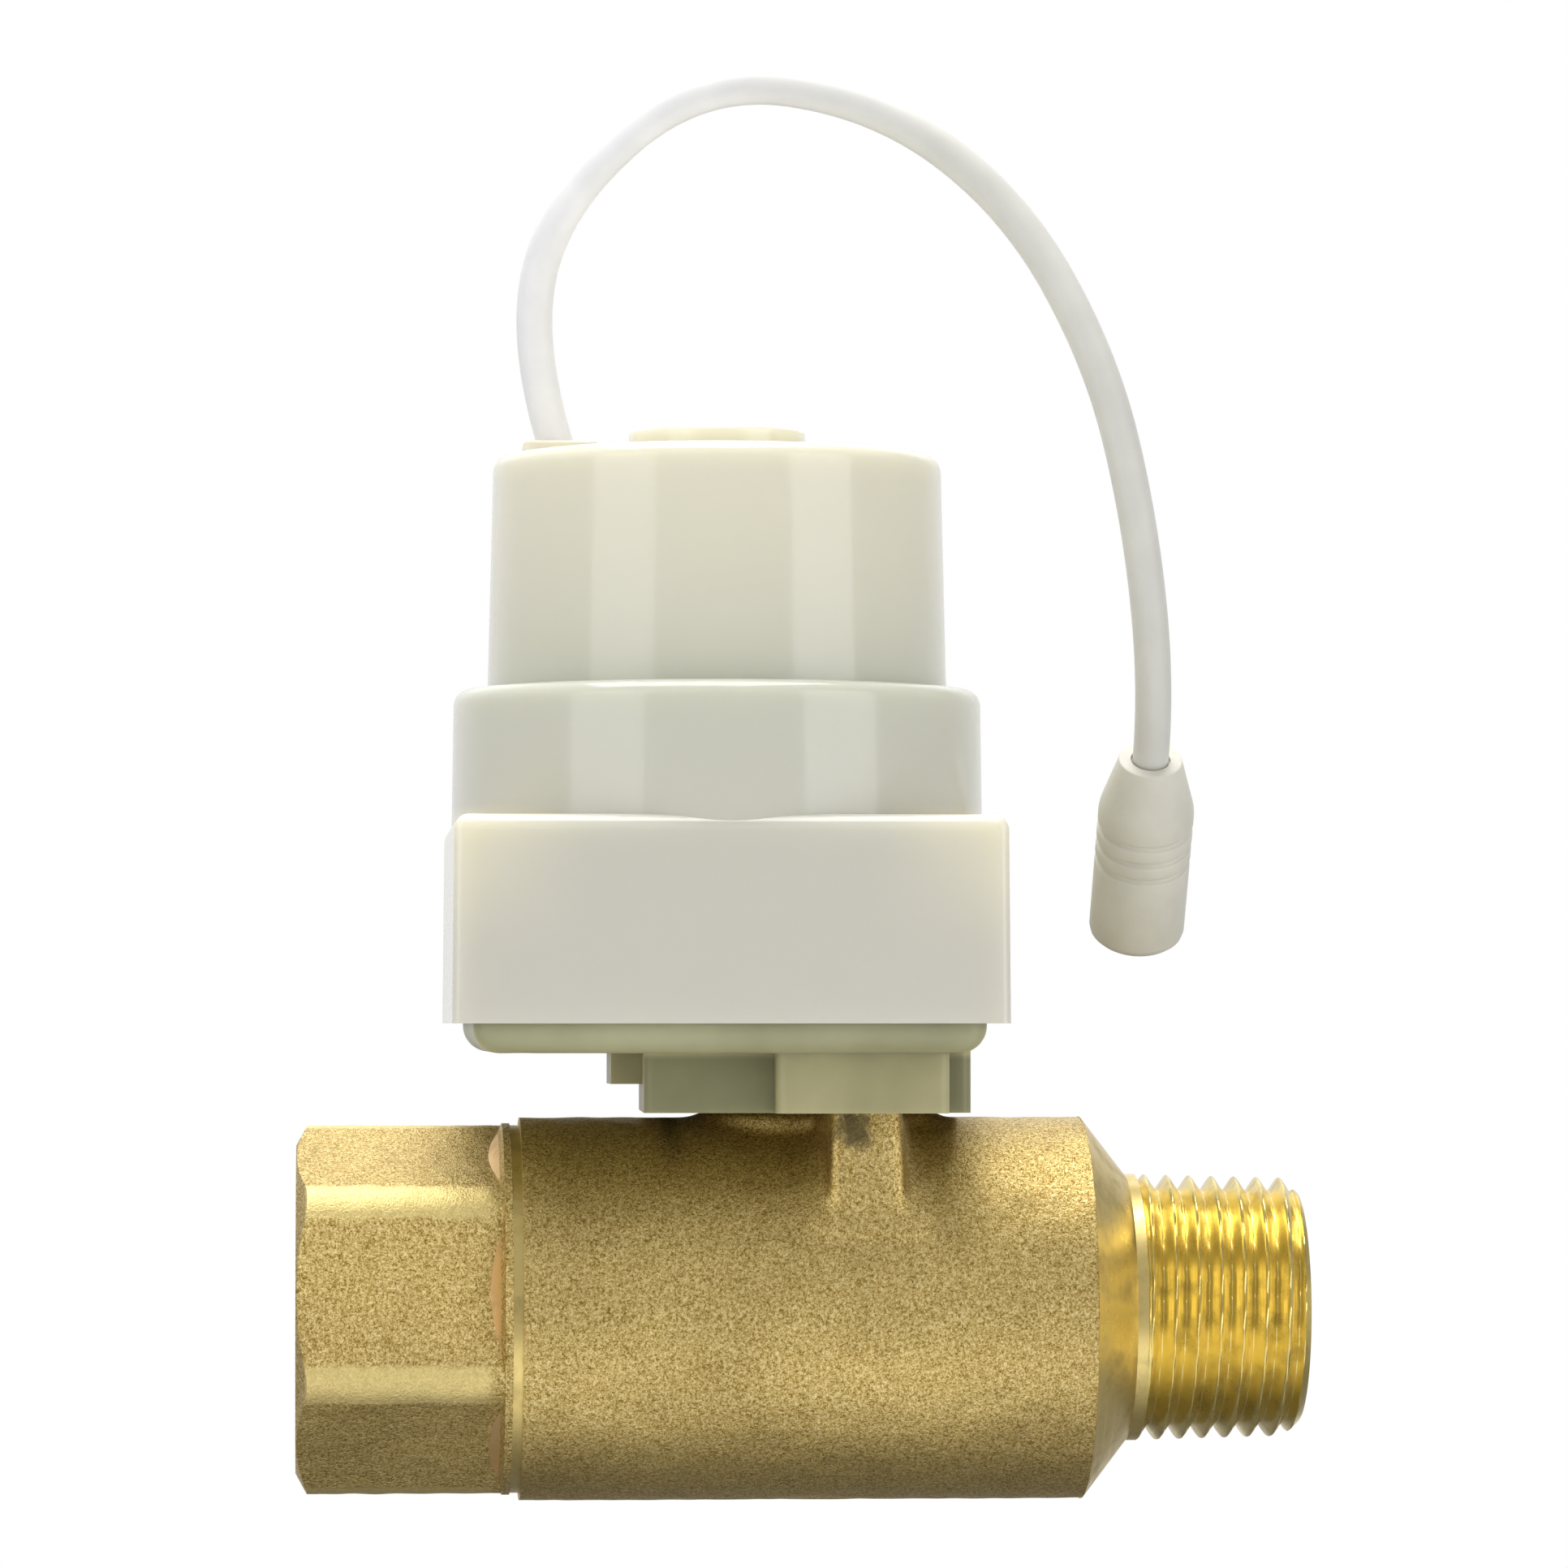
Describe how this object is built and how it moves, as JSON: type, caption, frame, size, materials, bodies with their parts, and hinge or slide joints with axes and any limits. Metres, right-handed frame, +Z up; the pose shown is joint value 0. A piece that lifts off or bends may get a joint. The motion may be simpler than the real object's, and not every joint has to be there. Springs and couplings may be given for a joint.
{
  "type": "motor-driven shut-off valve",
  "caption": "Quarter-turn brass ball valve with a stepped plastic motor actuator, gear train and short cable ending in a round socket, from a water leak alarm kit.",
  "frame": {"origin": "centre of the inlet face, on the flow axis", "axes": "+X along the flow to the outlet, +Y away from the viewer, +Z up to the actuator"},
  "size_m": [0.08, 0.043, 0.1141],
  "materials": {
    "cast_brass": "blasted, with turned bands",
    "ball_chrome": "polished",
    "stem_brass": "turned",
    "seat_white": "waxy",
    "seal_rubber": "smooth",
    "cover_plastic": "milky, slightly see-through",
    "base_plastic": "satin",
    "cable_jacket": "satin",
    "grommet_plastic": "satin",
    "socket_plastic": "fine matt",
    "contact_metal": "bright",
    "screw_steel": "zinc plated",
    "plate_steel": "rolled",
    "shaft_steel": "ground",
    "gear_white": "satin",
    "output_grey": "satin",
    "board_green": "lacquered",
    "header_white": "satin",
    "coil_copper": "enamelled winding",
    "bearing_bronze": "sintered",
    "magnet_dark": "matt",
    "wire_red": "satin"
  },
  "bodies": {
    "root": {"valve_body": "cast_brass", "inlet_end_cap": "cast_brass", "output_bushing": "stem_brass", "board_spacers": "stem_brass", "inlet_seat": "seat_white", "outlet_seat": "seat_white", "thrust_washer": "seat_white", "body_o_ring": "seal_rubber", "actuator_cover": "cover_plastic", "base_plate": "base_plastic", "cable": "cable_jacket", "cable_grommet": "grommet_plastic", "connector_shell": "socket_plastic", "connector_contacts": "contact_metal", "cover_screws": "screw_steel", "mount_screws": "screw_steel", "frame_screws": "screw_steel", "gear_plate_lower": "plate_steel", "gear_plate_upper": "plate_steel", "motor_can": "plate_steel", "lower_pole_plate": "plate_steel", "centre_pole_plate": "plate_steel", "upper_pole_plate": "plate_steel", "gear_pins": "shaft_steel", "plate_pillars": "shaft_steel", "position_board": "board_green", "terminal_header": "header_white", "lower_bobbin": "header_white", "upper_bobbin": "header_white", "motor_lead_block": "header_white", "lower_coil": "coil_copper", "upper_coil": "coil_copper", "lower_bearing": "bearing_bronze", "upper_bearing": "bearing_bronze", "lead_wires": "wire_red", "motor_leads": "wire_red"},
    "output": {"ball": "ball_chrome", "stem": "stem_brass", "stem_o_ring_lower": "seal_rubber", "stem_o_ring_upper": "seal_rubber", "output_shaft": "output_grey", "output_gear": "gear_white", "contact_wiper": "contact_metal"},
    "third_cluster": {"third_gear": "gear_white"},
    "second_cluster": {"second_gear": "gear_white"},
    "first_cluster": {"first_gear": "gear_white"},
    "rotor": {"rotor_shaft": "shaft_steel", "rotor_magnet": "magnet_dark", "motor_pinion": "gear_white"}
  },
  "joints": [
    {"name": "valve_turn", "type": "hinge", "parent": "root", "child": "output", "pos_m": [0.0415, 0, 0], "axis": [0, 0, 1], "range_deg": [0, 90]},
    {"name": "third_gear_turn", "type": "hinge", "parent": "root", "child": "third_cluster", "pos_m": [0.03368, -0.01038, 0], "axis": [0, 0, 1], "range_deg": [-301, 0]},
    {"name": "second_gear_turn", "type": "hinge", "parent": "root", "child": "second_cluster", "pos_m": [0.02679, -0.00246, 0], "axis": [0, 0, 1], "range_deg": [0, 752]},
    {"name": "first_gear_turn", "type": "hinge", "parent": "root", "child": "first_cluster", "pos_m": [0.02675, 0.00804, 0], "axis": [0, 0, 1], "range_deg": [-1880, 0]},
    {"name": "rotor_turn", "type": "hinge", "parent": "root", "child": "rotor", "pos_m": [0.0335, 0, 0], "axis": [0, 0, 1], "range_deg": [0, 4700]}
  ],
  "couplings": [
    {"joint": "third_gear_turn", "follows": "valve_turn", "ratio": -3.3333},
    {"joint": "second_gear_turn", "follows": "valve_turn", "ratio": 8.3333},
    {"joint": "first_gear_turn", "follows": "valve_turn", "ratio": -20.833},
    {"joint": "rotor_turn", "follows": "valve_turn", "ratio": 52.083}
  ]
}
